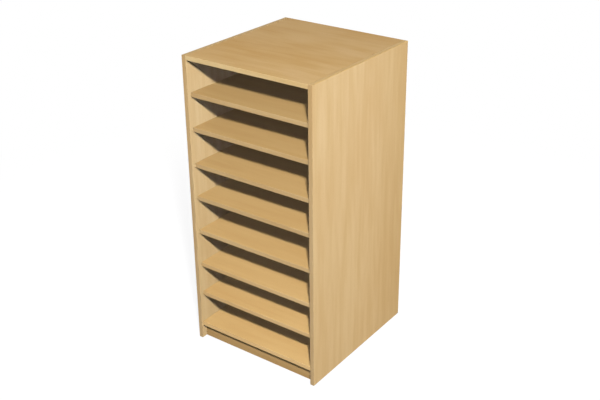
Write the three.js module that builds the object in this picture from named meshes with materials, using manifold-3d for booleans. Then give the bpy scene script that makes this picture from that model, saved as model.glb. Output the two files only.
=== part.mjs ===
// A tall open storage unit of melamine-faced board with seven loose shelves.
// Millimetres, Z up. X runs to the right and Y to the back, from the middle of the footprint on the floor.

import * as THREE from 'three';
import { mergeVertices } from 'three/addons/utils/BufferGeometryUtils.js';
import Module from 'manifold-3d';

const wasm = await Module();
wasm.setup();

// Overall size and the board it is cut from
const overallWidth = 600;
const overallDepth = 640;
const overallHeight = 1250;
const boardThickness = 18;

// Layout of the front
const shelfCount = 7;
const shelfOffsets = [-3, 2, -2, 3, -1, -5, 4]; // each shelf above its even place, from the top down
const shelfSetback = 18; // fronts of the shelves behind the fronts of the sides
const baseSetback = 6; // front of the base behind the fronts of the sides
const plinthSetback = 20; // front of the plinth behind the front of the base
const plinthHeight = 60; // underside of the base above the floor
const lowestOpeningLoss = 8; // height that the lowest opening has less than the others

// Edging on the boards that show an edge
const edgingThickness = 2; // with its glue
const edgingRadius = 1.2;
const glueLine = 0.1;

// Back panel in its grooves
const backThickness = 8;
const backInset = 12; // rear face of the panel in from the rear edges of the sides
const grooveDepth = 6;
const grooveClearance = 0.3;

// Dowels that join the top, the base and the plinth to the sides
const dowelDiameter = 8;
const dowelChamfer = 1;
const dowelHoleClearance = 0.25; // on the radius
const dowelEndGap = 0.5; // glue space at each end of a dowel
const dowelEndDepth = 20; // depth of the holes in the ends of the boards
const dowelSkin = 7; // board left outside the holes in the sides
const dowelsPerBoardEnd = 3;
const dowelEdgeInset = 60; // first and last dowel from the front and rear edges of a board
const dowelsPerPlinthEnd = 2;
const plinthDowelInset = 14; // from the upper and lower edges of the plinth

// Loose shelves, slotted at both ends for the wires that carry them
const shelfEndClearance = 1;
const shelfBackClearance = 2;
const slotDepth = 7;
const slotSlack = 1; // height of the slot over the wire's diameter
const slotStopGap = 0.5; // wire to the closed front end of the slot
const slotFloorGap = 1; // wire to the floor of the slot

// Support wires, each a shallow staple lying level
const wireDiameter = 3;
const wireBendRadius = 4;
const wireFrontInset = 60; // front leg from the front of the shelf
const wireRearInset = 60; // rear leg from the rear of the shelf
const wireSkin = 7; // board left outside the holes for the legs
const wireHoleClearance = 0.3; // on the radius
const wireEndGap = 0.5;
const wireRestGap = 0.3; // top of the wire to the slot that rests on it

// Facets and cutting
const dowelSides = 12;
const wireSides = 8;
const wireBendSteps = 3;
const edgingRadiusFacets = 4;
const overcut = 1; // how far a cutter runs past the face it enters

const finishes = {
  board: { color: '#dcb988', roughness: 0.55, metalness: 0 },
  edging: { color: '#d6b181', roughness: 0.5, metalness: 0 },
  back: { color: '#d8b483', roughness: 0.6, metalness: 0 },
  dowel: { color: '#d9bd92', roughness: 0.75, metalness: 0 },
  wire: { color: '#b4b8bc', roughness: 0.35, metalness: 1 },
};

// Planes that several pieces share
const innerFace = overallWidth / 2 - boardThickness;
const frontY = -overallDepth / 2;
const rearY = overallDepth / 2;
const topUnderside = overallHeight - boardThickness;
const baseTop = plinthHeight + boardThickness;
const backRearY = rearY - backInset;
const backFrontY = backRearY - backThickness;
const shelfFrontY = frontY + shelfSetback;
const shelfRearY = backFrontY - shelfBackClearance;
const baseFrontY = frontY + baseSetback;
const plinthFrontY = baseFrontY + plinthSetback;
const openingsTotal = topUnderside - baseTop - shelfCount * boardThickness;
const openingHeight = (openingsTotal + lowestOpeningLoss) / (shelfCount + 1);
const boardEnd = innerFace - glueLine;
const shelfEnd = innerFace - shelfEndClearance;
const wireFrontY = shelfFrontY + wireFrontInset;
const wireRearY = shelfRearY - wireRearInset;
const slotHeight = wireDiameter + slotSlack;
const wireHeight = (boardThickness + slotSlack) / 2 - wireRestGap; // axis above the underside of the shelf
const wireOffset = shelfEndClearance + slotDepth - slotFloorGap - wireDiameter / 2; // axis from the side

const hands = { left: -1, right: 1 };

// The underside of a shelf, counted from 1 at the top
const shelfLevel = (number) => {
  const evenLevel = topUnderside - number * (openingHeight + boardThickness);
  return evenLevel + (shelfOffsets[number - 1] ?? 0);
};
const shelfNumbers = Array.from({ length: shelfCount }, (_, index) => index + 1);

// Evenly spaced places from the first to the last
function spread(first, last, count) {
  return Array.from({ length: count }, (_, index) => first + ((last - first) * index) / (count - 1));
}

// Geometry helpers

function block(x, y, z) {
  const size = [x, y, z].map(([from, to]) => Math.abs(to - from));
  const middle = [x, y, z].map(([from, to]) => (from + to) / 2);
  return new THREE.BoxGeometry(...size).translate(...middle);
}

function roundHole(radius, sides, xFrom, xTo, y, z) {
  const hole = new THREE.CylinderGeometry(radius, radius, Math.abs(xTo - xFrom), sides);
  return hole.rotateZ(Math.PI / 2).translate((xFrom + xTo) / 2, y, z);
}

function toSolid(geometry) {
  const bare = geometry.clone();
  bare.deleteAttribute('normal');
  bare.deleteAttribute('uv');
  const merged = mergeVertices(bare);
  const vertProperties = merged.attributes.position.array;
  const triVerts = Uint32Array.from(merged.index.array);
  return new wasm.Manifold(new wasm.Mesh({ numProp: 3, vertProperties, triVerts }));
}

function cut(body, cutters) {
  let solid = toSolid(body);
  for (const cutter of cutters) {
    solid = solid.subtract(toSolid(cutter));
  }
  const { vertProperties, triVerts } = solid.getMesh();
  const geometry = new THREE.BufferGeometry();
  geometry.setAttribute('position', new THREE.BufferAttribute(vertProperties, 3));
  geometry.setIndex(new THREE.BufferAttribute(triVerts, 1));
  return geometry;
}

// Adds a piece to a group, with its geometry about its own middle and its place in the mesh
function addPiece(group, name, geometry, finish) {
  geometry.computeBoundingBox();
  const middle = geometry.boundingBox.getCenter(new THREE.Vector3());
  const mesh = new THREE.Mesh(geometry.center(), new THREE.MeshStandardMaterial(finish));
  mesh.name = name;
  mesh.position.copy(middle);
  group.add(mesh);
}

// Edging

// A strip as wide as the board, with its outer corners rounded. The glued face lies on the local origin.
function edgingStrip(length, outward, along) {
  const half = boardThickness / 2;
  const thickness = edgingThickness - glueLine;
  const radius = Math.min(edgingRadius, thickness - glueLine);
  const section = new THREE.Shape();
  section.moveTo(-half, 0);
  section.lineTo(half, 0);
  section.lineTo(half, thickness - radius);
  section.absarc(half - radius, thickness - radius, radius, 0, Math.PI / 2);
  section.lineTo(radius - half, thickness);
  section.absarc(radius - half, thickness - radius, radius, Math.PI / 2, Math.PI);
  const strip = new THREE.ExtrudeGeometry(section, {
    depth: length,
    bevelEnabled: false,
    curveSegments: edgingRadiusFacets / 2,
  });
  const across = new THREE.Vector3().crossVectors(outward, along);
  const turn = new THREE.Matrix4().makeBasis(across, outward, along);
  return strip.translate(0, 0, -length / 2).applyMatrix4(turn);
}

const toRight = new THREE.Vector3(1, 0, 0);
const toBack = new THREE.Vector3(0, 1, 0);
const toFront = new THREE.Vector3(0, -1, 0);
const upwards = new THREE.Vector3(0, 0, 1);

// Back panel and the groove that takes it, which the sides, the top and the base all share

const backReach = innerFace + grooveDepth;
const backLow = baseTop - grooveDepth;
const backHigh = topUnderside + grooveDepth;

function backPanel() {
  const gap = grooveClearance;
  return block([gap - backReach, backReach - gap], [backFrontY, backRearY], [backLow + gap, backHigh - gap]);
}

function backGroove() {
  const gap = grooveClearance;
  return block([-backReach, backReach], [backFrontY - gap, backRearY + gap], [backLow, backHigh]);
}

// Dowel joints, each a place on the face of a side

const boardDowelPlaces = (boardFrontY, boardMiddleZ) =>
  spread(boardFrontY + dowelEdgeInset, rearY - dowelEdgeInset, dowelsPerBoardEnd).map((y) => ({
    y,
    z: boardMiddleZ,
  }));

const plinthDowelPlaces = spread(plinthDowelInset, plinthHeight - plinthDowelInset, dowelsPerPlinthEnd).map(
  (z) => ({ y: plinthFrontY + boardThickness / 2, z }),
);

const dowelJoints = {
  top: boardDowelPlaces(frontY, overallHeight - boardThickness / 2),
  base: boardDowelPlaces(baseFrontY, plinthHeight + boardThickness / 2),
  plinth: plinthDowelPlaces,
};

const dowelSideReach = innerFace + boardThickness - dowelSkin;
const dowelEndReach = innerFace - dowelEndDepth;
const dowelHoleRadius = dowelDiameter / 2 + dowelHoleClearance;

function dowelHolesInSide(hand) {
  return Object.values(dowelJoints)
    .flat()
    .map(({ y, z }) =>
      roundHole(dowelHoleRadius, dowelSides, hand * (innerFace - overcut), hand * dowelSideReach, y, z),
    );
}

function dowelHolesInEnds(places) {
  return Object.values(hands).flatMap((hand) =>
    places.map(({ y, z }) =>
      roundHole(dowelHoleRadius, dowelSides, hand * dowelEndReach, hand * (innerFace + overcut), y, z),
    ),
  );
}

function dowel(hand, { y, z }) {
  const length = dowelSideReach - dowelEndReach - 2 * dowelEndGap;
  const radius = dowelDiameter / 2;
  const profile = [
    new THREE.Vector2(0, -length / 2),
    new THREE.Vector2(radius - dowelChamfer, -length / 2),
    new THREE.Vector2(radius, dowelChamfer - length / 2),
    new THREE.Vector2(radius, length / 2 - dowelChamfer),
    new THREE.Vector2(radius - dowelChamfer, length / 2),
    new THREE.Vector2(0, length / 2),
  ];
  const middle = (hand * (dowelSideReach + dowelEndReach)) / 2;
  return new THREE.LatheGeometry(profile, dowelSides).rotateZ(Math.PI / 2).translate(middle, y, z);
}

// Support wires

const wireLegDepth = boardThickness - wireSkin;

function wireHolesInSide(hand) {
  const radius = wireDiameter / 2 + wireHoleClearance;
  const xFrom = hand * (innerFace - overcut);
  const xTo = hand * (innerFace + wireLegDepth);
  const legs = [wireFrontY, wireRearY];
  return shelfNumbers.flatMap((number) => {
    const z = shelfLevel(number) + wireHeight;
    return legs.map((y) => roundHole(radius, wireSides, xFrom, xTo, y, z));
  });
}

// The centreline of a wire through its points, which lie close together only in the bends
class WireLine extends THREE.Curve {
  constructor(points) {
    super();
    this.points = points;
  }

  getPoint(t) {
    const along = t * (this.points.length - 1);
    const index = Math.min(Math.floor(along), this.points.length - 2);
    return this.points[index].clone().lerp(this.points[index + 1], along - index);
  }

  getUtoTmapping(u) {
    return u;
  }
}

// A wire for the left side, from the side's face at x = 0, about the middle of its length
function supportWire() {
  const halfSpan = (wireRearY - wireFrontY) / 2;
  const bendX = wireOffset - wireBendRadius;
  const bendY = halfSpan - wireBendRadius;
  const legEnd = wireEndGap - wireLegDepth;
  const bend = spread(0, Math.PI / 2, wireBendSteps + 1).map((angle) => {
    const x = bendX + wireBendRadius * Math.cos(angle);
    return new THREE.Vector3(x, bendY + wireBendRadius * Math.sin(angle), 0);
  });
  const rearHalf = [...bend, new THREE.Vector3(legEnd, halfSpan, 0)];
  const frontHalf = rearHalf.map((point) => new THREE.Vector3(point.x, -point.y, 0)).reverse();
  const points = [...frontHalf, ...rearHalf];
  const section = new THREE.Shape().absarc(0, 0, wireDiameter / 2, 0, 2 * Math.PI);
  return new THREE.ExtrudeGeometry(section, {
    extrudePath: new WireLine(points),
    steps: points.length - 1,
    curveSegments: wireSides / 2,
  });
}

// Boards

function sideBoard(hand) {
  const x = [hand * innerFace, (hand * overallWidth) / 2];
  const body = block(x, [frontY + edgingThickness, rearY], [0, overallHeight - edgingThickness]);
  return cut(body, [backGroove(), ...dowelHolesInSide(hand), ...wireHolesInSide(hand)]);
}

function topBoard() {
  const body = block([-boardEnd, boardEnd], [frontY + edgingThickness, rearY], [topUnderside, overallHeight]);
  return cut(body, [backGroove(), ...dowelHolesInEnds(dowelJoints.top)]);
}

function baseBoard() {
  const body = block([-boardEnd, boardEnd], [baseFrontY + edgingThickness, rearY], [plinthHeight, baseTop]);
  return cut(body, [backGroove(), ...dowelHolesInEnds(dowelJoints.base)]);
}

function plinthBoard() {
  const y = [plinthFrontY, plinthFrontY + boardThickness];
  const body = block([-boardEnd, boardEnd], y, [0, plinthHeight - glueLine]);
  return cut(body, dowelHolesInEnds(dowelJoints.plinth));
}

// A shelf about its underside, with a slot in each end that is closed at the front and open at the back
function shelfBoard() {
  const body = block([-shelfEnd, shelfEnd], [shelfFrontY + edgingThickness, shelfRearY], [0, boardThickness]);
  const slotY = [wireFrontY - wireDiameter / 2 - slotStopGap, shelfRearY + overcut];
  const slotZ = [(boardThickness - slotHeight) / 2, (boardThickness + slotHeight) / 2];
  const slots = Object.values(hands).map((hand) =>
    block([hand * (shelfEnd - slotDepth), hand * (shelfEnd + overcut)], slotY, slotZ),
  );
  return cut(body, slots);
}

// Assembly

function makeCarcass() {
  const carcass = new THREE.Group();
  const sideEdgeY = frontY + edgingThickness;
  const sideEdgeZ = overallHeight - edgingThickness;
  for (const [side, hand] of Object.entries(hands)) {
    const middleX = hand * (innerFace + boardThickness / 2);
    addPiece(carcass, `${side}_side`, sideBoard(hand), finishes.board);
    const front = edgingStrip(overallHeight, toFront, upwards);
    front.translate(middleX, sideEdgeY - glueLine, overallHeight / 2);
    addPiece(carcass, `${side}_side_front_edging`, front, finishes.edging);
    const upper = edgingStrip(rearY - sideEdgeY, upwards, toBack);
    upper.translate(middleX, (sideEdgeY + rearY) / 2, sideEdgeZ + glueLine);
    addPiece(carcass, `${side}_side_top_edging`, upper, finishes.edging);
  }
  addPiece(carcass, 'top_board', topBoard(), finishes.board);
  const topEdging = edgingStrip(2 * boardEnd, toFront, toRight);
  topEdging.translate(0, sideEdgeY - glueLine, topUnderside + boardThickness / 2);
  addPiece(carcass, 'top_board_edging', topEdging, finishes.edging);
  addPiece(carcass, 'base_board', baseBoard(), finishes.board);
  const baseEdging = edgingStrip(2 * boardEnd, toFront, toRight);
  baseEdging.translate(0, baseFrontY + edgingThickness - glueLine, plinthHeight + boardThickness / 2);
  addPiece(carcass, 'base_board_edging', baseEdging, finishes.edging);
  addPiece(carcass, 'front_plinth', plinthBoard(), finishes.board);
  addPiece(carcass, 'back_panel', backPanel(), finishes.back);
  return carcass;
}

function makeDowels() {
  const dowels = new THREE.Group();
  for (const [joint, places] of Object.entries(dowelJoints)) {
    for (const [side, hand] of Object.entries(hands)) {
      places.forEach((place, index) => {
        addPiece(dowels, `${joint}_dowel_${side}_${index + 1}`, dowel(hand, place), finishes.dowel);
      });
    }
  }
  return dowels;
}

// A shelf with its edging, and the pair of wires that carries it, at the level of its underside
function makeShelf(number) {
  const shelf = new THREE.Group();
  shelf.position.z = shelfLevel(number);
  addPiece(shelf, `shelf_${number}`, shelfBoard(), finishes.board);
  const edging = edgingStrip(2 * shelfEnd, toFront, toRight);
  edging.translate(0, shelfFrontY + edgingThickness - glueLine, boardThickness / 2);
  addPiece(shelf, `shelf_${number}_edging`, edging, finishes.edging);
  for (const [side, hand] of Object.entries(hands)) {
    const seat = new THREE.Group();
    seat.position.set(hand * innerFace, (wireFrontY + wireRearY) / 2, wireHeight);
    seat.rotation.z = hand > 0 ? Math.PI : 0;
    addPiece(seat, `support_wire_${number}_${side}`, supportWire(), finishes.wire);
    shelf.add(seat);
  }
  return shelf;
}

const storageUnit = new THREE.Group();
storageUnit.add(makeCarcass(), makeDowels(), ...shelfNumbers.map(makeShelf));

export default storageUnit;
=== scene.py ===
import math
import bpy
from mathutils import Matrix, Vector


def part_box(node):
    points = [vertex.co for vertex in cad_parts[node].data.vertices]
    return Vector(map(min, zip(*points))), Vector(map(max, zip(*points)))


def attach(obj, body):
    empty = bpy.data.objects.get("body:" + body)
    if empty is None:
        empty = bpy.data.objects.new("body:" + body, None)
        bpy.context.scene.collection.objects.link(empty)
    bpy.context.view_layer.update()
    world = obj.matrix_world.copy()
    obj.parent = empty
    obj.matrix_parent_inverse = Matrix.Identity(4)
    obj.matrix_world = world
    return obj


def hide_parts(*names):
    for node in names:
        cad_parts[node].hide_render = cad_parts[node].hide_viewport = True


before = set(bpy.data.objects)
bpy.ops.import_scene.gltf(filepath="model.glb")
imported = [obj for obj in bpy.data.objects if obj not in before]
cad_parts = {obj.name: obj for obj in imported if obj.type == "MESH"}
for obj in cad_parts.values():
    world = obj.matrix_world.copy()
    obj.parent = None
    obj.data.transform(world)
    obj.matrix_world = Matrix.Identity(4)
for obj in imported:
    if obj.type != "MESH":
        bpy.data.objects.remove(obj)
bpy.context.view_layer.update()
mm = 0.001


# shader maths: a socket that adds, scales and so on, and adds its own nodes
class Paint:
    def __init__(self, tree, socket=None):
        self.tree = tree
        self.socket = socket

    def node(self, kind, settings, sockets, out=0):
        made = self.tree.nodes.new(kind)
        for name, value in settings.items():
            setattr(made, name, value)
        for name, value in sockets.items():
            if isinstance(value, Paint):
                self.tree.links.new(value.socket, made.inputs[name])
            else:
                made.inputs[name].default_value = value
        return Paint(self.tree, made.outputs[out])

    def maths(self, operation, *values):
        return self.node("ShaderNodeMath", {"operation": operation}, dict(enumerate(values)))

    def __add__(self, other):
        return self.maths("ADD", self, other)

    def __radd__(self, other):
        return self.maths("ADD", other, self)

    def __sub__(self, other):
        return self.maths("SUBTRACT", self, other)

    def __rsub__(self, other):
        return self.maths("SUBTRACT", other, self)

    def __mul__(self, other):
        return self.maths("MULTIPLY", self, other)

    def __rmul__(self, other):
        return self.maths("MULTIPLY", other, self)

    def __abs__(self):
        return self.maths("ABSOLUTE", self)

    def ramp(self, low, high):  # 0 below low, 1 above high, eased between
        sockets = {"Value": self, "From Min": low, "From Max": high}
        return self.node("ShaderNodeMapRange", {"interpolation_type": "SMOOTHSTEP"}, sockets)

    def between(self, first, second):  # colour mixed by this value
        return self.node("ShaderNodeMix", {"data_type": "RGBA"}, {0: self, 6: first, 7: second}, 2)

    def tinted(self, colour):  # this colour multiplied by another
        return self.node("ShaderNodeVectorMath", {"operation": "MULTIPLY"}, {0: self, 1: colour})

    def feed(self, shader, name):
        self.tree.links.new(self.socket, shader.inputs[name])


def tint(red, green, blue):  # 0 to 255 as on screen, to the linear colour that shaders take
    share = [value / 255 for value in (red, green, blue)]
    return [v / 12.92 if v <= 0.04045 else ((v + 0.055) / 1.055) ** 2.4 for v in share] + [1]


def shaded(colour, amount):
    return [min(1, value * amount) for value in colour[:3]] + [1]


def newFinish(name):
    finish = bpy.data.materials.new(name)
    finish.use_nodes = True
    return finish, Paint(finish.node_tree), finish.node_tree.nodes["Principled BSDF"]


def objectPlace(paint):
    return paint.node("ShaderNodeTexCoord", {}, {}, "Object")


def stretch(paint, place, grain, cell):  # one unit per cell, drawn out along the grain
    scale = [1 / cell["along" if axis == grain else "across"] for axis in "XYZ"]
    return paint.node("ShaderNodeMapping", {}, {"Vector": place, "Scale": scale})


noiseMiddle = 0.5


def noise(paint, place, grain, layer):
    sockets = {
        "Vector": stretch(paint, place, grain, layer), "Scale": 1.0,
        "Detail": layer["detail"], "Roughness": layer.get("grit", 0.5),
    }
    return paint.node("ShaderNodeTexNoise", {}, sockets, "Fac")


def bump(paint, height, relief, shader):
    sockets = {"Height": height, "Strength": relief["strength"], "Distance": relief["distance"]}
    paint.node("ShaderNodeBump", {}, sockets).feed(shader, "Normal")


arrisReach = (0.08, 0.42)


def arris(paint):  # 1 on rounded edges, 0 on flat faces
    normal = paint.node("ShaderNodeTexCoord", {}, {}, "Normal")
    x, y, z = (abs(paint.node("ShaderNodeSeparateXYZ", {}, {"Vector": normal}, axis)) for axis in "XYZ")
    return (x * y + y * z + z * x).ramp(*arrisReach)


# beech decor: melamine on the boards, printed plastic on the edging
beechDecor = {
    "streak": {"across": 32 * mm, "detail": 3.5, "grit": 0.66},
    "figure": {"across": 110 * mm, "detail": 2.0},
    "ring": {"across": 120 * mm, "along": 1000 * mm, "detail": 1.0}, "ringCount": 9, "ringDepth": 0.06,
    "fibre": {"across": 0.8 * mm, "along": 45 * mm, "detail": 2.0}, "fibreDepth": 0.5,
    "fleck": {"across": 1.5 * mm, "along": 6.5 * mm}, "fleckEdge": (0.12, 0.34), "fleckShare": (0.45, 0.6),
    "fleckTone": 0.55, "fleckDepth": 0.3, "fleckRoughness": 0.1,
    "smudge": {"across": 90 * mm, "along": 120 * mm, "detail": 3.0}, "smudgeRoughness": 0.14,
    "rub": {"across": 8 * mm, "along": 30 * mm, "detail": 3.0}, "rubReach": (0.4, 0.7),
    "rubTone": 1.25, "rubDepth": 0.25, "rubRoughness": 0.12,
    "pearl": {"across": 0.5 * mm, "along": 0.9 * mm, "detail": 2.0},
    "pearlHeight": 0.5, "fibreHeight": 0.5, "fleckSink": 0.8,
    "relief": {"strength": 0.22, "distance": 0.12 * mm}, "gloss": 0.12,
}


def beechFinish(name, colour, grain, roughness, plan, paintedShadeDrifts):
    look = beechDecor
    finish, paint, shader = newFinish(name)
    place = objectPlace(paint)

    streaks = noise(paint, place, grain, {**look["streak"], "along": plan["streakAlong"]})
    field = noise(paint, place, grain, look["ring"])
    rings = paint.maths("SINE", field * (look["ringCount"] * 2 * math.pi))
    fibres = noise(paint, place, grain, look["fibre"])
    shade = noiseMiddle + (streaks - noiseMiddle) * plan["streakDepth"] + rings * look["ringDepth"]
    figure = noise(paint, place, grain, {**look["figure"], "along": plan["figureAlong"]})
    shade = shade + (fibres - noiseMiddle) * look["fibreDepth"]
    shade = shade + (figure - noiseMiddle) * plan["figureDepth"]

    # short dark ray flecks, only in some of the cells
    cells = {"Vector": stretch(paint, place, grain, look["fleck"]), "Scale": 1.0}
    near = paint.node("ShaderNodeTexVoronoi", {}, cells, "Distance")
    chance = paint.node("ShaderNodeTexVoronoi", {}, cells, "Color")
    chance = paint.node("ShaderNodeSeparateColor", {}, {"Color": chance}, "Red")
    flecks = (1 - near.ramp(*look["fleckEdge"])) * chance.ramp(*look["fleckShare"])

    dark = [value * (1 - spread) for value, spread in zip(colour, plan["spread"])] + [1]
    pale = [value * (1 + spread) for value, spread in zip(colour, plan["spread"])] + [1]
    base = shade.ramp(0, 1).between(dark, pale)
    base = (flecks * look["fleckDepth"]).between(base, shaded(colour, look["fleckTone"]))
    for paintedShadeDrift in paintedShadeDrifts:  # painted light and shade: the tone changes slowly over the board, paler or darker as the light falls on it
        along = paint.node("ShaderNodeSeparateXYZ", {}, {"Vector": place}, paintedShadeDrift["axis"])
        paintedShadeFactor = along.ramp(*paintedShadeDrift["reach"]).between(paintedShadeDrift["first"] + (1,), paintedShadeDrift["last"] + (1,))
        base = base.tinted(paintedShadeFactor)

    # handling: rubbed arrises and faint smudges
    smudge = noise(paint, place, grain, look["smudge"])
    rubbed = arris(paint) * noise(paint, place, grain, look["rub"]).ramp(*look["rubReach"])
    base = (rubbed * look["rubDepth"]).between(base, shaded(colour, look["rubTone"]))
    base.feed(shader, "Base Color")
    worn = roughness + (smudge - noiseMiddle) * look["smudgeRoughness"]
    worn = worn + flecks * look["fleckRoughness"] + rubbed * look["rubRoughness"]
    worn.feed(shader, "Roughness")
    shader.inputs["Specular IOR Level"].default_value = look["gloss"]

    pearl = noise(paint, place, grain, look["pearl"])
    height = pearl * look["pearlHeight"] + fibres * look["fibreHeight"] - flecks * look["fleckSink"]
    bump(paint, height, look["relief"], shader)
    return finish


# bare board edges, slots and holes
chipboardLook = {
    "pale": tint(214, 187, 146), "dark": tint(158, 123, 83),
    "chip": {"across": 1.7 * mm, "along": 4.5 * mm},
    "dust": {"across": 0.4 * mm, "along": 0.8 * mm, "detail": 3.0},
    "cloud": {"across": 30 * mm, "along": 60 * mm, "detail": 2.0},
    "chipShare": 0.75, "dustShare": 0.35, "cloudShare": 0.3, "toneReach": (0.05, 1.05),
    "seamReach": (0.0, 0.12), "seamDepth": 0.6, "seamTone": 0.55,
    "roughness": 0.8, "dustRoughness": 0.15, "gloss": 0.2,
    "seamHeight": 0.6, "dustHeight": 0.4, "chipHeight": 0.4,
    "relief": {"strength": 0.5, "distance": 0.35 * mm},
}


def chipboardFinish(name):
    look = chipboardLook
    finish, paint, shader = newFinish(name)
    place = objectPlace(paint)
    cells = {"Vector": stretch(paint, place, "Y", look["chip"]), "Scale": 1.0}
    chips = paint.node("ShaderNodeTexVoronoi", {}, cells, "Color")
    chips = paint.node("ShaderNodeSeparateColor", {}, {"Color": chips}, "Green")
    seams = paint.node("ShaderNodeTexVoronoi", {"feature": "DISTANCE_TO_EDGE"}, cells, "Distance")
    seams = seams.ramp(*look["seamReach"])
    dust = noise(paint, place, "Y", look["dust"])
    cloud = noise(paint, place, "Y", look["cloud"])
    mixed = chips * look["chipShare"] + dust * look["dustShare"] + (cloud - noiseMiddle) * look["cloudShare"]
    base = mixed.ramp(*look["toneReach"]).between(look["dark"], look["pale"])
    filled = seams * look["seamDepth"] + (1 - look["seamDepth"])
    base = filled.between(shaded(look["dark"], look["seamTone"]), base)
    base.feed(shader, "Base Color")
    (look["roughness"] + dust * look["dustRoughness"]).feed(shader, "Roughness")
    shader.inputs["Specular IOR Level"].default_value = look["gloss"]
    height = seams * look["seamHeight"] + dust * look["dustHeight"] + chips * look["chipHeight"]
    bump(paint, height, look["relief"], shader)
    return finish


# dull zinc on drawn wire
steelLook = {
    "bright": tint(206, 208, 211), "dull": tint(168, 170, 174), "metal": 0.5,
    "drawn": {"across": 0.25 * mm, "along": 14 * mm, "detail": 2.0},
    "patch": {"across": 5 * mm, "along": 16 * mm, "detail": 3.0},
    "patchShare": 0.7, "drawnShare": 0.3, "toneReach": (0.3, 0.7),
    "roughness": 0.32, "patchRoughness": 0.16, "drawnRoughness": 0.1,
    "relief": {"strength": 0.15, "distance": 0.05 * mm},
}


def steelFinish(name):
    look = steelLook
    finish, paint, shader = newFinish(name)
    place = objectPlace(paint)
    drawn = noise(paint, place, "Y", look["drawn"])
    patches = noise(paint, place, "Y", look["patch"])
    tone = (patches * look["patchShare"] + drawn * look["drawnShare"]).ramp(*look["toneReach"])
    tone.between(look["dull"], look["bright"]).feed(shader, "Base Color")
    worn = look["roughness"] + patches * look["patchRoughness"] + drawn * look["drawnRoughness"]
    worn.feed(shader, "Roughness")
    shader.inputs["Metallic"].default_value = look["metal"]
    bump(paint, drawn, look["relief"], shader)
    return finish


# raw turned beech
dowelLook = {
    "pale": tint(222, 194, 152), "dark": tint(187, 150, 106),
    "growth": {"across": 1.6 * mm, "along": 30 * mm, "detail": 2.0}, "growthReach": (0.3, 0.7),
    "pore": {"across": 0.25 * mm, "along": 3 * mm, "detail": 2.0}, "poreReach": (0.58, 0.7),
    "poreDepth": 0.45, "poreTone": 0.6, "poreSink": 0.6,
    "roughness": 0.68, "poreRoughness": 0.2,
    "relief": {"strength": 0.3, "distance": 0.1 * mm},
}


def dowelFinish(name):
    look = dowelLook
    finish, paint, shader = newFinish(name)
    place = objectPlace(paint)
    growth = noise(paint, place, "X", look["growth"])
    pores = noise(paint, place, "X", look["pore"]).ramp(*look["poreReach"])
    base = growth.ramp(*look["growthReach"]).between(look["dark"], look["pale"])
    base = (pores * look["poreDepth"]).between(base, shaded(look["dark"], look["poreTone"]))
    base.feed(shader, "Base Color")
    (look["roughness"] + pores * look["poreRoughness"]).feed(shader, "Roughness")
    bump(paint, growth - pores * look["poreSink"], look["relief"], shader)
    return finish


# colours as they look in plain light
beechColours = {
    "side": tint(218, 186, 133), "top": tint(199, 159, 97), "shelf": tint(200, 162, 104),
    "plinth": tint(180, 145, 93), "back": tint(198, 164, 112),
    "sideEdging": tint(187, 156, 110), "topEdging": tint(210, 180, 126), "shelfEdging": tint(192, 160, 110),
    "baseEdging": tint(217, 179, 120), "upperEdging": tint(198, 162, 104),
}
grains = {"side": "Z", "back": "Z", "sideEdging": "Z", "upperEdging": "Y", "other": "X"}
roughnesses = {"board": 0.5, "edging": 0.44}
# spread is the share of red, green and blue from the middle tone to the palest grain: dark grain is browner
grainPlans = {
    "top": {
        "spread": (0.058, 0.105, 0.24), "streakAlong": 300 * mm, "streakDepth": 1.1,
        "figureAlong": 330 * mm, "figureDepth": 1.9,
    },
    "shelf": {
        "spread": (0.036, 0.06, 0.096), "streakAlong": 480 * mm, "streakDepth": 1.2,
        "figureAlong": 700 * mm, "figureDepth": 1.6,
    },
    "other": {
        "spread": (0.052, 0.09, 0.142), "streakAlong": 480 * mm, "streakDepth": 1.75,
        "figureAlong": 700 * mm, "figureDepth": 1.2,
    },
}


def even(value):
    return (value, value, value)


# painted light and shade: slow changes of tone over a board, as factors on its colour, paler or darker as
# the light falls on it; the last one is painted shade on the upper arris of the base
paintedShadeDrifts = {
    # side: painted shade, darker and warmer towards the bottom and towards the rear
    "side": [
        {"axis": "Z", "reach": (0.0, 1.25), "first": (0.893, 0.868, 0.838), "last": (0.992, 1.005, 1.056)},
        {"axis": "Y", "reach": (0.0, 0.34), "first": even(1), "last": (0.91, 0.884, 0.816)},
    ],
    # top: painted light, paler towards the front and towards the right
    "top": [
        {"axis": "Y", "reach": (-0.32, 0.32), "first": (1.047, 1.055, 1.07), "last": (0.963, 0.956, 0.941)},
        {"axis": "X", "reach": (-0.3, 0.3), "first": (0.967, 0.948, 0.897), "last": (1.033, 1.054, 1.112)},
    ],
    # upper edging: painted light, paler towards the right
    "upperEdging": [
        {"axis": "X", "reach": (-0.3, 0.3), "first": (0.95, 0.97, 0.99), "last": (1.04, 1.045, 1.01)},
    ],
    # side edging: painted light, paler towards the top
    "sideEdging": [{"axis": "Z", "reach": (0.6, 1.25), "first": even(1), "last": (1.07, 1.06, 1.02)}],
    # shelves: painted light, the lower shelves paler
    "shelf": [{"axis": "Z", "reach": (0.1, 1.1), "first": even(1.05), "last": even(0.99)}],
    # shelf edging: painted light, the lower edges paler
    "shelfEdging": [{"axis": "Z", "reach": (0.2, 0.65), "first": even(1.2), "last": even(1)}],
    # base edging: painted shade that darkens its top, where the rounded arris catches a bright line of light
    "baseEdging": [{"axis": "Z", "reach": (0.074, 0.078), "first": even(1), "last": even(0.86)}],
}
finishes = {}
for use, colour in beechColours.items():
    grain = grains.get(use, grains["other"])
    roughness = roughnesses["edging" if use.endswith("Edging") else "board"]
    plan = grainPlans.get(use, grainPlans["other"])
    finishes[use] = beechFinish("beech_" + use, colour, grain, roughness, plan, paintedShadeDrifts.get(use, []))
finishes["chipboard"] = chipboardFinish("chipboard_edge")
finishes["steel"] = steelFinish("zinc_wire")
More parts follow.
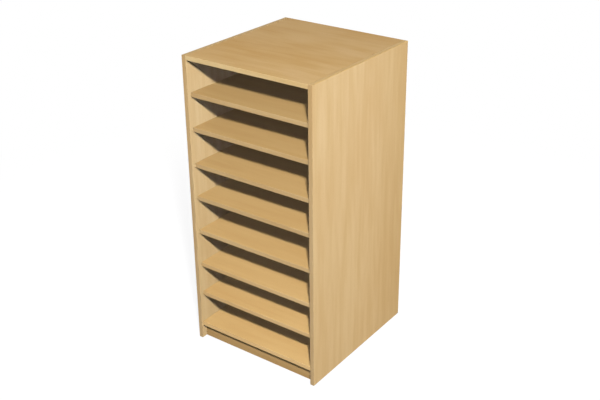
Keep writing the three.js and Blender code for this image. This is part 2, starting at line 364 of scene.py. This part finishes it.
finishes["dowel"] = dowelFinish("turned_beech")
print("finishes made:", len(finishes))


# modelling helpers
hair = 0.01 * mm  # edges closer than this to a plane lie on it


def pick(*chosen):
    bpy.ops.object.select_all(action="DESELECT")
    for piece in chosen:
        piece.select_set(True)
    bpy.context.view_layer.objects.active = chosen[0]


def block(name, low, high):
    bpy.ops.object.select_all(action="DESELECT")
    bpy.ops.mesh.primitive_cube_add(size=1, location=(low + high) / 2, scale=high - low)
    bpy.ops.object.transform_apply(location=True, rotation=True, scale=True)
    bpy.context.object.name = name
    return bpy.context.object


def rod(radius, low, high, corners):  # along X, between the middles of two end faces
    bpy.ops.object.select_all(action="DESELECT")
    bpy.ops.mesh.primitive_cylinder_add(
        vertices=corners, radius=radius, depth=high.x - low.x, location=(low + high) / 2,
        rotation=(0, math.pi / 2, 0))
    bpy.ops.object.transform_apply(location=True, rotation=True, scale=True)
    return bpy.context.object


def clearSelection(piece, kind):
    pick(piece)
    bpy.ops.object.mode_set(mode="EDIT")
    bpy.ops.mesh.select_mode(type=kind)
    bpy.ops.mesh.select_all(action="DESELECT")
    bpy.ops.object.mode_set(mode="OBJECT")


def editEdges(piece, wanted):
    clearSelection(piece, "EDGE")
    points = piece.data.vertices
    for edge in piece.data.edges:
        edge.select = wanted(*(points[index].co for index in edge.vertices))
    bpy.ops.object.mode_set(mode="EDIT")


def editFaces(piece, wanted):
    clearSelection(piece, "FACE")
    for face in piece.data.polygons:
        face.select = wanted(face)
    bpy.ops.object.mode_set(mode="EDIT")


def ease(piece, radius, segments, wanted=lambda a, b: True):
    editEdges(piece, wanted)
    bpy.ops.mesh.bevel(offset=radius, segments=segments, affect="EDGES")
    bpy.ops.object.mode_set(mode="OBJECT")


def cutAway(piece, cutters):
    pick(*cutters)
    if len(cutters) > 1:
        bpy.ops.object.join()
    cutter = bpy.context.object
    pick(piece)
    bpy.ops.object.modifier_add(type="BOOLEAN")
    cut = piece.modifiers[-1]
    cut.object = cutter
    cut.operation = "DIFFERENCE"
    cut.solver = "EXACT"
    bpy.ops.object.modifier_apply(modifier=cut.name)
    bpy.data.objects.remove(cutter)


def smooth(piece, degrees):
    pick(piece)
    bpy.ops.object.shade_smooth_by_angle(angle=math.radians(degrees))
    bpy.ops.object.modifier_add(type="WEIGHTED_NORMAL")
    piece.modifiers[-1].keep_sharp = True
    bpy.ops.object.modifier_apply(modifier=piece.modifiers[-1].name)


def copyOf(source, name, shift):
    pick(source)
    bpy.ops.object.duplicate(linked=False)
    bpy.ops.transform.translate(value=shift)
    bpy.ops.object.transform_apply(location=True, rotation=False, scale=False)
    bpy.context.object.name = name
    return bpy.context.object


def dressAll(piece, *worn):
    piece.data.materials.clear()
    for finish in worn:
        piece.data.materials.append(finish)


def fit(piece, body, slot, *nodes):
    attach(piece, body)
    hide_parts(*nodes)


sides = ("left", "right")
shelfNumbers = range(1, 8)
axisX, axisY, axisZ = 0, 1, 2


# edging: a strip with its two outer long edges rounded and its ends trimmed
edging = {
    "radius": 1.2 * mm, "segments": 5, "trim": 0.15 * mm, "trimSegments": 1,
    "longEdge": 100 * mm, "smoothAngle": 40,
}


def makeEdging(node, outward, sign, finish):
    low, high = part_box(node)
    strip = block(node + "_strip", low, high)
    face = high[outward] if sign > 0 else low[outward]
    run = max(axisX, axisY, axisZ, key=lambda axis: high[axis] - low[axis])

    def outerLong(a, b):
        onFace = all(abs(point[outward] - face) < hair for point in (a, b))
        return onFace and abs(a[run] - b[run]) > edging["longEdge"]

    def aroundEnd(a, b):
        fromEnds = max(abs(a[run] - low[run]), abs(a[run] - high[run]))
        return abs(a[run] - b[run]) < hair and fromEnds > edging["longEdge"]

    ease(strip, edging["radius"], edging["segments"], outerLong)
    ease(strip, edging["trim"], edging["trimSegments"], aroundEnd)
    dressAll(strip, finish)
    smooth(strip, edging["smoothAngle"])
    return strip


def fitEdging(node, outward, sign, finish):
    fit(makeEdging(node, outward, sign, finishes[finish]), "carcass", "beech_edging", node)


# cutters shared by the boards
joinery = {
    "dowelSlack": 0.25 * mm, "wireSlack": 0.3 * mm, "endGap": 0.5 * mm, "grooveSlack": 0.3 * mm,
    "overcut": 1 * mm, "holeSides": 24,
}
dowelCounts = {"top": 3, "base": 3, "plinth": 2}  # at each end of the board


def grooveCutter():
    low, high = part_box("back_panel")
    slack = Vector((1, 1, 1)) * joinery["grooveSlack"]
    return block("groove", low - slack, high + slack)


def dowelNames(joint, side):
    return [f"{joint}_dowel_{side}_{number + 1}" for number in range(dowelCounts[joint])]


def dowelCutters(joint, side):
    cutters = []
    for name in dowelNames(joint, side):
        low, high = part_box(name)
        middle = (low + high) / 2
        radius = (high.z - low.z) / 2 + joinery["dowelSlack"]
        start = Vector((low.x - joinery["endGap"], middle.y, middle.z))
        end = Vector((high.x + joinery["endGap"], middle.y, middle.z))
        cutters.append(rod(radius, start, end, joinery["holeSides"]))
    return cutters


def wireCutters(side):
    cutters = []
    boardLow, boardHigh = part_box(side + "_side")
    for number in shelfNumbers:
        low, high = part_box(f"support_wire_{number}_{side}")
        radius = (high.z - low.z) / 2
        z = (low.z + high.z) / 2
        if side == "left":
            reach = (low.x - joinery["endGap"], boardHigh.x + joinery["overcut"])
        else:
            reach = (boardLow.x - joinery["overcut"], high.x + joinery["endGap"])
        for y in (low.y + radius, high.y - radius):
            start, end = (Vector((x, y, z)) for x in reach)
            cutters.append(rod(radius + joinery["wireSlack"], start, end, joinery["holeSides"]))
    return cutters


# boards
board = {"arris": 0.3 * mm, "segments": 2, "skin": 0.4 * mm, "smoothAngle": 40}


def dressBoard(piece, faced, facing):  # decor on the two faces across the facing axis, bare board elsewhere
    low = min(point.co[facing] for point in piece.data.vertices)
    high = max(point.co[facing] for point in piece.data.vertices)
    dressAll(piece, faced, finishes["chipboard"])
    for face in piece.data.polygons:
        place = face.center[facing]
        outer = place < low + board["skin"] or place > high - board["skin"]
        face.material_index = 0 if outer else 1


def makeBoard(node, finish, facing, cutters):
    piece = block(node + "_board", *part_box(node))
    ease(piece, board["arris"], board["segments"])
    cutAway(piece, cutters)
    dressBoard(piece, finishes[finish], facing)
    smooth(piece, board["smoothAngle"])
    return piece


for side in sides:
    cutters = [grooveCutter()]
    for joint in dowelCounts:
        cutters += dowelCutters(joint, side)
    cutters += wireCutters(side)
    node = side + "_side"
    fit(makeBoard(node, "side", axisX, cutters), "carcass", "beech_board", node)
    fitEdging(node + "_front_edging", axisY, -1, "sideEdging")
    fitEdging(node + "_top_edging", axisZ, 1, "upperEdging")
print("sides made")

for joint, finish in (("top", "top"), ("base", "shelf")):
    node = joint + "_board"
    cutters = [grooveCutter()] + dowelCutters(joint, "left") + dowelCutters(joint, "right")
    fit(makeBoard(node, finish, axisZ, cutters), "carcass", "beech_board", node)
    fitEdging(node + "_edging", axisY, -1, joint + "Edging")
cutters = dowelCutters("plinth", "left") + dowelCutters("plinth", "right")
fit(makeBoard("front_plinth", "plinth", axisY, cutters), "carcass", "beech_board", "front_plinth")
print("top, base and plinth made")

# back panel
backPanel = {"arris": 0.4 * mm, "segments": 2}
panel = block("back_panel_sheet", *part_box("back_panel"))
ease(panel, backPanel["arris"], backPanel["segments"])
dressBoard(panel, finishes["back"], axisY)
smooth(panel, board["smoothAngle"])
fit(panel, "carcass", "beech_back", "back_panel")
print("back panel made")

# shelves, with a slot in each end for its wire
shelf = {"slotSlack": 1 * mm, "slotFloorGap": 1 * mm, "slotStopGap": 0.5 * mm}


def slotCutter(side):
    low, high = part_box("shelf_1")
    wireLow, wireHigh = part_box("support_wire_1_" + side)
    middle = (low.z + high.z) / 2
    half = (wireHigh.z - wireLow.z + shelf["slotSlack"]) / 2
    if side == "left":
        x = (low.x - joinery["overcut"], wireHigh.x + shelf["slotFloorGap"])
    else:
        x = (wireLow.x - shelf["slotFloorGap"], high.x + joinery["overcut"])
    y = (wireLow.y - shelf["slotStopGap"], high.y + joinery["overcut"])
    return block("slot", Vector((x[0], y[0], middle - half)), Vector((x[1], y[1], middle + half)))


firstShelf = makeBoard("shelf_1", "shelf", axisZ, [slotCutter("left"), slotCutter("right")])
firstStrip = makeEdging("shelf_1_edging", axisY, -1, finishes["shelfEdging"])
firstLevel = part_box("shelf_1")[0].z
for number in shelfNumbers:
    shelfPiece, stripPiece = firstShelf, firstStrip
    if number > 1:
        drop = (0, 0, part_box(f"shelf_{number}")[0].z - firstLevel)
        shelfPiece = copyOf(firstShelf, f"shelf_{number}_board", drop)
        stripPiece = copyOf(firstStrip, f"shelf_{number}_edging_strip", drop)
    fit(shelfPiece, f"loose_shelf_{number}", "beech_board", f"shelf_{number}")
    fit(stripPiece, f"loose_shelf_{number}", "beech_edging", f"shelf_{number}_edging")
print("shelves made:", len(shelfNumbers))

# support wires: a drawn rod with two bends
wire = {
    "corners": 20, "bend": 4 * mm, "bendSteps": 8, "chamfer": 0.4 * mm, "chamferSteps": 2,
    "mergeGap": 0.001 * mm, "smoothAngle": 50,
}


def makeWire(node):
    low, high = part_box(node)
    radius = (high.z - low.z) / 2
    z = (low.z + high.z) / 2
    legY = (low.y + radius, high.y - radius)
    bendX = high.x - radius - wire["bend"]
    bpy.ops.object.select_all(action="DESELECT")
    bpy.ops.mesh.primitive_circle_add(
        vertices=wire["corners"], radius=radius, fill_type="NGON", location=(low.x, legY[0], z),
        rotation=(0, math.pi / 2, 0))
    bpy.ops.object.transform_apply(location=True, rotation=True, scale=True)
    piece = bpy.context.object
    piece.name = node + "_rod"
    bpy.ops.object.mode_set(mode="EDIT")
    bpy.ops.mesh.select_all(action="SELECT")
    leg = bendX - low.x
    bendY = (legY[0] + wire["bend"], legY[1] - wire["bend"])
    turn = {"steps": wire["bendSteps"], "angle": -math.pi / 2, "axis": (0, 0, 1)}
    bpy.ops.mesh.extrude_region_move(TRANSFORM_OT_translate={"value": (leg, 0, 0)})
    bpy.ops.mesh.spin(center=(bendX, bendY[0], z), **turn)
    bpy.ops.mesh.extrude_region_move(TRANSFORM_OT_translate={"value": (0, bendY[1] - bendY[0], 0)})
    bpy.ops.mesh.spin(center=(bendX, bendY[1], z), **turn)
    bpy.ops.mesh.extrude_region_move(TRANSFORM_OT_translate={"value": (-leg, 0, 0)})
    bpy.ops.mesh.select_all(action="SELECT")
    bpy.ops.mesh.remove_doubles(threshold=wire["mergeGap"])
    bpy.ops.mesh.normals_make_consistent(inside=False)
    bpy.ops.object.mode_set(mode="OBJECT")
    ease(piece, wire["chamfer"], wire["chamferSteps"], lambda a, b: max(a.x, b.x) < low.x + hair)
    dressAll(piece, finishes["steel"])
    smooth(piece, wire["smoothAngle"])
    return piece


firstWire = makeWire("support_wire_1_left")
wireLow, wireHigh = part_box("support_wire_1_left")
wireMiddle = (0, (wireLow.y + wireHigh.y) / 2, 0)
for side in sides:
    for number in shelfNumbers:
        node = f"support_wire_{number}_{side}"
        piece = firstWire
        if (side, number) != ("left", 1):
            piece = copyOf(firstWire, node + "_rod", (0, 0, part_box(node)[0].z - wireLow.z))
        if side == "right":
            pick(piece)
            bpy.ops.transform.rotate(value=math.pi, orient_axis="Z", center_override=wireMiddle)
            bpy.ops.object.transform_apply(location=True, rotation=True, scale=False)
        fit(piece, "carcass", "wire_steel", node)
print("support wires made:", len(sides) * len(shelfNumbers))

# dowels, chamfered and fluted
dowel = {
    "corners": 32, "chamfer": 1 * mm, "chamferSteps": 2, "fluteWall": 0.12 * mm, "fluteDepth": 0.3 * mm,
    "barrelTilt": 0.1, "smoothAngle": 35,
}


def makeDowel(node):
    low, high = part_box(node)
    middle = (low + high) / 2
    radius = (high.z - low.z) / 2
    start, end = (Vector((x, middle.y, middle.z)) for x in (low.x, high.x))
    piece = rod(radius, start, end, dowel["corners"])
    piece.name = node + "_pin"
    ease(piece, dowel["chamfer"], dowel["chamferSteps"], lambda a, b: abs(a.x - b.x) < hair)
    step = 4 * math.pi / dowel["corners"]

    def flute(face):  # every other face of the barrel
        around = math.atan2(face.center.y - middle.y, face.center.z - middle.z)
        return abs(face.normal.x) < dowel["barrelTilt"] and (around / step) % 1 < 0.5

    editFaces(piece, flute)
    bpy.ops.mesh.inset(thickness=dowel["fluteWall"], depth=-dowel["fluteDepth"], use_individual=True)
    bpy.ops.object.mode_set(mode="OBJECT")
    dressAll(piece, finishes["dowel"])
    smooth(piece, dowel["smoothAngle"])
    return piece


dowelNodes = [name for joint in dowelCounts for side in sides for name in dowelNames(joint, side)]
firstDowel = makeDowel(dowelNodes[0])
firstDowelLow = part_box(dowelNodes[0])[0]
for node in dowelNodes:
    piece = firstDowel
    if node != dowelNodes[0]:
        piece = copyOf(firstDowel, node + "_pin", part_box(node)[0] - firstDowelLow)
    fit(piece, "carcass", "dowel_wood", node)
print("dowels made:", len(dowelNodes))

# camera at the photo's angle
camera = {
    "place": (2.0910, -2.7897, 2.3218), "azimuth": 35.034, "elevation": 24.450,
    "lens": 56.924, "sensor": 36, "shift": (-0.0438, -0.05),
}
aim = (math.radians(90 - camera["elevation"]), 0, math.radians(camera["azimuth"]))
bpy.ops.object.camera_add(location=camera["place"], rotation=aim)
eye = bpy.context.object
eye.data.lens = camera["lens"]
eye.data.sensor_width = camera["sensor"]
eye.data.shift_x, eye.data.shift_y = camera["shift"]
bpy.context.scene.camera = eye

# lamps: the key stands above the camera, side and rear reach the faces behind it,
# fill and lift are the flat light in the shadows
neutral, shadowBlue = (1, 1, 1), (0.65, 0.7, 0.98)
lamps = {
    "key": {"place": (2.13, -2.53, 3.08), "radius": 0.12, "power": 58.0, "colour": neutral},
    "side": {"place": (3.5, 2.5, 0.7), "radius": 0.3, "power": 10.8, "colour": (1.0, 0.91, 0.78)},
    "rear": {"place": (-2.7, 2.6, 0.8), "radius": 0.4, "power": 54.0, "colour": (1.0, 0.95, 0.87)},
    "fill": {"place": (2.13, -2.53, 3.08), "radius": 0.12, "power": 11.0, "colour": shadowBlue},
    "lift": {"place": (-3.6, 0.25, -1.8), "radius": 0.12, "power": 8.0, "colour": shadowBlue},
}
shadowless = ("fill", "lift")


def addLamp(name, look):  # even over distance
    bpy.ops.object.light_add(type="POINT", location=look["place"])
    bpy.context.object.name = name
    bpy.context.object.visible_glossy = False  # the sheen comes from the white room, with no glare of lamps
    lamp = bpy.context.object.data
    lamp.shadow_soft_size = look["radius"]
    lamp.energy = look["power"]
    lamp.color = look["colour"]
    lamp.use_shadow = name not in shadowless
    lamp.use_nodes = True
    glow = lamp.node_tree.nodes["Emission"]
    falloff = Paint(lamp.node_tree).node("ShaderNodeLightFalloff", {}, {"Strength": 1.0}, "Constant")
    falloff.feed(glow, "Strength")


for name, look in lamps.items():
    addLamp(name, look)


def seenDirectly(paint):  # 1 for camera, glossy and transmission rays
    rays = [paint.node("ShaderNodeLightPath", {}, {}, name)
            for name in ("Is Camera Ray", "Is Glossy Ray", "Is Transmission Ray")]
    return paint.maths("MINIMUM", rays[0] + rays[1] + rays[2], 1.0)


# white room, with only a little light of its own and none bounced
room = {"colour": (1, 1, 1, 1), "light": 0.05, "bounces": 0}
world = bpy.data.worlds.new("white_studio")
bpy.context.scene.world = world
world.use_nodes = True
backdrop = world.node_tree.nodes["Background"]
backdrop.inputs["Color"].default_value = room["colour"]
shine = seenDirectly(Paint(world.node_tree)) * (1 - room["light"]) + room["light"]
shine.feed(backdrop, "Strength")
bpy.context.scene.cycles.diffuse_bounces = room["bounces"]

# pale floor: white to the camera, with the object's shadow kept near it
floorLook = {
    "radius": 6.0, "corners": 96, "colour": (0.9, 0.9, 0.9, 1), "roughness": 0.9, "gloss": 0.0,
    "shadowShare": 0.12, "shadowReach": (1.2, 2.6),
}
bpy.ops.object.select_all(action="DESELECT")
bpy.ops.mesh.primitive_circle_add(
    vertices=floorLook["corners"], radius=floorLook["radius"], fill_type="NGON")
floor = bpy.context.object
floor.name = "floor"
floorFinish, paint, shader = newFinish("pale_floor")
floor.data.materials.append(floorFinish)
shader.inputs["Base Color"].default_value = floorLook["colour"]
shader.inputs["Roughness"].default_value = floorLook["roughness"]
shader.inputs["Specular IOR Level"].default_value = floorLook["gloss"]
away = paint.node("ShaderNodeVectorMath", {"operation": "LENGTH"}, {0: objectPlace(paint)}, "Value")
shadow = floorLook["shadowShare"] * (1 - away.ramp(*floorLook["shadowReach"]))
white = paint.node("ShaderNodeEmission", {}, {"Color": (1, 1, 1, 1), "Strength": 1.0})
lit = Paint(paint.tree, shader.outputs[0])
surface = paint.node("ShaderNodeMixShader", {}, {0: seenDirectly(paint) * (1 - shadow), 1: lit, 2: white})
surface.feed(floorFinish.node_tree.nodes["Material Output"], "Surface")
bpy.context.scene.view_settings.view_transform = "Standard"
print("camera, lamps and floor set")
